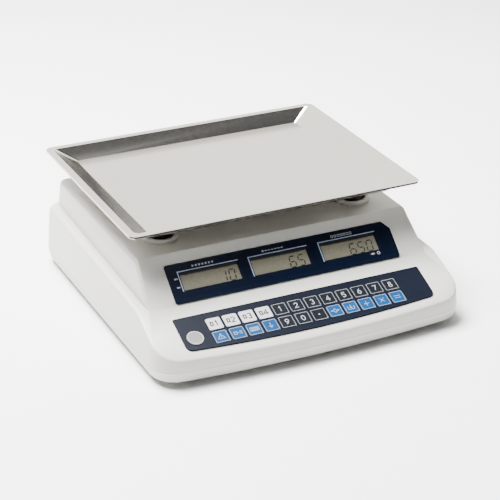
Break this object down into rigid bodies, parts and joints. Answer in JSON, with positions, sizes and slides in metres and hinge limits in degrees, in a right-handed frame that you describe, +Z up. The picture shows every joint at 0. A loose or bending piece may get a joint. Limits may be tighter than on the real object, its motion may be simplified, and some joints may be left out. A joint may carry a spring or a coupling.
{
  "type": "counting scale",
  "caption": "Bench counting scale with a loose stainless pan, a three-window display, a sloping membrane keypad, a load cell frame on rubber cushions and levelling feet.",
  "frame": {"origin": "middle of the footprint, at the height of the table", "axes": "+X to the user's right, +Y away from the user towards the back, +Z up; the keypad faces -Y"},
  "size_m": [0.335, 0.3386, 0.123],
  "materials": {
    "housing_plastic": "warm off-white moulded plastic, fine satin texture",
    "navy_film": "dark navy printed film, semi-gloss",
    "navy_lens": "dark navy printed lens, gloss",
    "level_vial": "clear grey moulded capsule",
    "white_key": "white printed key, semi-gloss",
    "navy_key": "navy printed key with a white line, semi-gloss",
    "blue_key": "bright blue printed key with a white line, semi-gloss",
    "lcd_glass": "grey-green display glass",
    "circuit_board": "green circuit board",
    "pan_steel": "polished stainless sheet",
    "frame_casting": "as-cast grey",
    "cushion_rubber": "matt black-brown rubber",
    "cell_aluminium": "milled and anodised",
    "lead_sheath": "grey sheath",
    "screw_steel": "zinc-plated",
    "battery_case": "dark grey case",
    "black_plastic": "black",
    "rocker_plastic": "black, semi-gloss",
    "sole_rubber": "matt black rubber",
    "foot_plastic": "black nylon"
  },
  "bodies": {
    "housing": {"base_shell": "housing_plastic", "top_housing": "housing_plastic", "keypad_film": "navy_film", "display_lens": "navy_lens", "bubble_level": "level_vial", "lcd_left": "lcd_glass", "lcd_middle": "lcd_glass", "lcd_right": "lcd_glass", "main_board": "circuit_board", "load_cell": "cell_aluminium", "load_cell_lead": "lead_sheath", "load_cell_lower_screw_1": "screw_steel", "load_cell_lower_screw_2": "screw_steel", "battery": "battery_case", "switch_body": "black_plastic", "power_socket": "black_plastic", "housing_screw_left": "screw_steel", "housing_screw_right": "screw_steel"},
    "platform": {"platform_frame": "frame_casting", "cushion_front_left": "cushion_rubber", "cushion_front_right": "cushion_rubber", "cushion_back_left": "cushion_rubber", "cushion_back_right": "cushion_rubber", "load_cell_upper_screw_1": "screw_steel", "load_cell_upper_screw_2": "screw_steel"},
    "pan": {"weighing_pan": "pan_steel"},
    "door": {"battery_door": "housing_plastic"},
    "rocker": {"switch_rocker": "rocker_plastic"},
    "sole_front_left": {"foot_sole_front_left": "sole_rubber"},
    "sole_front_right": {"foot_sole_front_right": "sole_rubber"},
    "sole_back_left": {"foot_sole_back_left": "sole_rubber"},
    "sole_back_right": {"foot_sole_back_right": "sole_rubber"},
    "knob_front_left": {"foot_screw_front_left": "foot_plastic"},
    "knob_front_right": {"foot_screw_front_right": "foot_plastic"},
    "knob_back_left": {"foot_screw_back_left": "foot_plastic"},
    "knob_back_right": {"foot_screw_back_right": "foot_plastic"},
    "memory_1": {"key_memory_1": "white_key"},
    "memory_2": {"key_memory_2": "white_key"},
    "memory_3": {"key_memory_3": "white_key"},
    "memory_4": {"key_memory_4": "white_key"},
    "digit_1": {"key_digit_1": "navy_key"},
    "digit_2": {"key_digit_2": "navy_key"},
    "digit_3": {"key_digit_3": "navy_key"},
    "digit_4": {"key_digit_4": "navy_key"},
    "digit_5": {"key_digit_5": "navy_key"},
    "digit_6": {"key_digit_6": "navy_key"},
    "digit_7": {"key_digit_7": "navy_key"},
    "digit_8": {"key_digit_8": "navy_key"},
    "digit_9": {"key_digit_9": "navy_key"},
    "digit_0": {"key_digit_0": "navy_key"},
    "point": {"key_point": "navy_key"},
    "warning_light": {"key_warning_light": "blue_key"},
    "unit_weight": {"key_unit_weight": "blue_key"},
    "sample_count": {"key_sample_count": "blue_key"},
    "confirm": {"key_confirm": "blue_key"},
    "zero": {"key_zero": "blue_key"},
    "tare": {"key_tare": "blue_key"},
    "add": {"key_add": "blue_key"},
    "clear": {"key_clear": "blue_key"},
    "total": {"key_total": "blue_key"}
  },
  "joints": [
    {"name": "weigh", "type": "slide", "parent": "housing", "child": "platform", "axis": [0, 0, -1], "range_m": [0, 0.00025], "stiffness_N_per_m": 600000},
    {"name": "pan_lift", "type": "slide", "parent": "platform", "child": "pan", "axis": [0, 0, 1], "range_m": [0, 0.03]},
    {"name": "door_slide", "type": "slide", "parent": "housing", "child": "door", "axis": [1, 0, 0], "range_m": [0, 0.012]},
    {"name": "switch_rock", "type": "hinge", "parent": "housing", "child": "rocker", "pos_m": [0.074, 0.1604, 0.038], "axis": [1, 0, 0], "range_deg": [0, 20]},
    {"name": "foot_rise_front_left", "type": "slide", "parent": "housing", "child": "sole_front_left", "axis": [0, 0, 1], "range_m": [-0.005, 0.003]},
    {"name": "foot_rise_front_right", "type": "slide", "parent": "housing", "child": "sole_front_right", "axis": [0, 0, 1], "range_m": [-0.005, 0.003]},
    {"name": "foot_rise_back_left", "type": "slide", "parent": "housing", "child": "sole_back_left", "axis": [0, 0, 1], "range_m": [-0.005, 0.003]},
    {"name": "foot_rise_back_right", "type": "slide", "parent": "housing", "child": "sole_back_right", "axis": [0, 0, 1], "range_m": [-0.005, 0.003]},
    {"name": "foot_turn_front_left", "type": "hinge", "parent": "sole_front_left", "child": "knob_front_left", "pos_m": [-0.1335, -0.1335, 0.01], "axis": [0, 0, 1], "range_deg": [-1440, 864]},
    {"name": "foot_turn_front_right", "type": "hinge", "parent": "sole_front_right", "child": "knob_front_right", "pos_m": [0.1335, -0.1335, 0.01], "axis": [0, 0, 1], "range_deg": [-1440, 864]},
    {"name": "foot_turn_back_left", "type": "hinge", "parent": "sole_back_left", "child": "knob_back_left", "pos_m": [-0.1335, 0.1335, 0.01], "axis": [0, 0, 1], "range_deg": [-1440, 864]},
    {"name": "foot_turn_back_right", "type": "hinge", "parent": "sole_back_right", "child": "knob_back_right", "pos_m": [0.1335, 0.1335, 0.01], "axis": [0, 0, 1], "range_deg": [-1440, 864]},
    {"name": "press_memory_1", "type": "slide", "parent": "housing", "child": "memory_1", "axis": [0, 0.3746, -0.9272], "range_m": [0, 0.0006], "stiffness_N_per_m": 3000},
    {"name": "press_memory_2", "type": "slide", "parent": "housing", "child": "memory_2", "axis": [0, 0.3746, -0.9272], "range_m": [0, 0.0006], "stiffness_N_per_m": 3000},
    {"name": "press_memory_3", "type": "slide", "parent": "housing", "child": "memory_3", "axis": [0, 0.3746, -0.9272], "range_m": [0, 0.0006], "stiffness_N_per_m": 3000},
    {"name": "press_memory_4", "type": "slide", "parent": "housing", "child": "memory_4", "axis": [0, 0.3746, -0.9272], "range_m": [0, 0.0006], "stiffness_N_per_m": 3000},
    {"name": "press_digit_1", "type": "slide", "parent": "housing", "child": "digit_1", "axis": [0, 0.3746, -0.9272], "range_m": [0, 0.0006], "stiffness_N_per_m": 3000},
    {"name": "press_digit_2", "type": "slide", "parent": "housing", "child": "digit_2", "axis": [0, 0.3746, -0.9272], "range_m": [0, 0.0006], "stiffness_N_per_m": 3000},
    {"name": "press_digit_3", "type": "slide", "parent": "housing", "child": "digit_3", "axis": [0, 0.3746, -0.9272], "range_m": [0, 0.0006], "stiffness_N_per_m": 3000},
    {"name": "press_digit_4", "type": "slide", "parent": "housing", "child": "digit_4", "axis": [0, 0.3746, -0.9272], "range_m": [0, 0.0006], "stiffness_N_per_m": 3000},
    {"name": "press_digit_5", "type": "slide", "parent": "housing", "child": "digit_5", "axis": [0, 0.3746, -0.9272], "range_m": [0, 0.0006], "stiffness_N_per_m": 3000},
    {"name": "press_digit_6", "type": "slide", "parent": "housing", "child": "digit_6", "axis": [0, 0.3746, -0.9272], "range_m": [0, 0.0006], "stiffness_N_per_m": 3000},
    {"name": "press_digit_7", "type": "slide", "parent": "housing", "child": "digit_7", "axis": [0, 0.3746, -0.9272], "range_m": [0, 0.0006], "stiffness_N_per_m": 3000},
    {"name": "press_digit_8", "type": "slide", "parent": "housing", "child": "digit_8", "axis": [0, 0.3746, -0.9272], "range_m": [0, 0.0006], "stiffness_N_per_m": 3000},
    {"name": "press_digit_9", "type": "slide", "parent": "housing", "child": "digit_9", "axis": [0, 0.3746, -0.9272], "range_m": [0, 0.0006], "stiffness_N_per_m": 3000},
    {"name": "press_digit_0", "type": "slide", "parent": "housing", "child": "digit_0", "axis": [0, 0.3746, -0.9272], "range_m": [0, 0.0006], "stiffness_N_per_m": 3000},
    {"name": "press_point", "type": "slide", "parent": "housing", "child": "point", "axis": [0, 0.3746, -0.9272], "range_m": [0, 0.0006], "stiffness_N_per_m": 3000},
    {"name": "press_warning_light", "type": "slide", "parent": "housing", "child": "warning_light", "axis": [0, 0.3746, -0.9272], "range_m": [0, 0.0006], "stiffness_N_per_m": 3000},
    {"name": "press_unit_weight", "type": "slide", "parent": "housing", "child": "unit_weight", "axis": [0, 0.3746, -0.9272], "range_m": [0, 0.0006], "stiffness_N_per_m": 3000},
    {"name": "press_sample_count", "type": "slide", "parent": "housing", "child": "sample_count", "axis": [0, 0.3746, -0.9272], "range_m": [0, 0.0006], "stiffness_N_per_m": 3000},
    {"name": "press_confirm", "type": "slide", "parent": "housing", "child": "confirm", "axis": [0, 0.3746, -0.9272], "range_m": [0, 0.0006], "stiffness_N_per_m": 3000},
    {"name": "press_zero", "type": "slide", "parent": "housing", "child": "zero", "axis": [0, 0.3746, -0.9272], "range_m": [0, 0.0006], "stiffness_N_per_m": 3000},
    {"name": "press_tare", "type": "slide", "parent": "housing", "child": "tare", "axis": [0, 0.3746, -0.9272], "range_m": [0, 0.0006], "stiffness_N_per_m": 3000},
    {"name": "press_add", "type": "slide", "parent": "housing", "child": "add", "axis": [0, 0.3746, -0.9272], "range_m": [0, 0.0006], "stiffness_N_per_m": 3000},
    {"name": "press_clear", "type": "slide", "parent": "housing", "child": "clear", "axis": [0, 0.3746, -0.9272], "range_m": [0, 0.0006], "stiffness_N_per_m": 3000},
    {"name": "press_total", "type": "slide", "parent": "housing", "child": "total", "axis": [0, 0.3746, -0.9272], "range_m": [0, 0.0006], "stiffness_N_per_m": 3000}
  ],
  "couplings": [
    {"joint": "foot_turn_front_left", "follows": "foot_rise_front_left", "rad_per_m": 5026.5},
    {"joint": "foot_turn_front_right", "follows": "foot_rise_front_right", "rad_per_m": 5026.5},
    {"joint": "foot_turn_back_left", "follows": "foot_rise_back_left", "rad_per_m": 5026.5},
    {"joint": "foot_turn_back_right", "follows": "foot_rise_back_right", "rad_per_m": 5026.5}
  ]
}
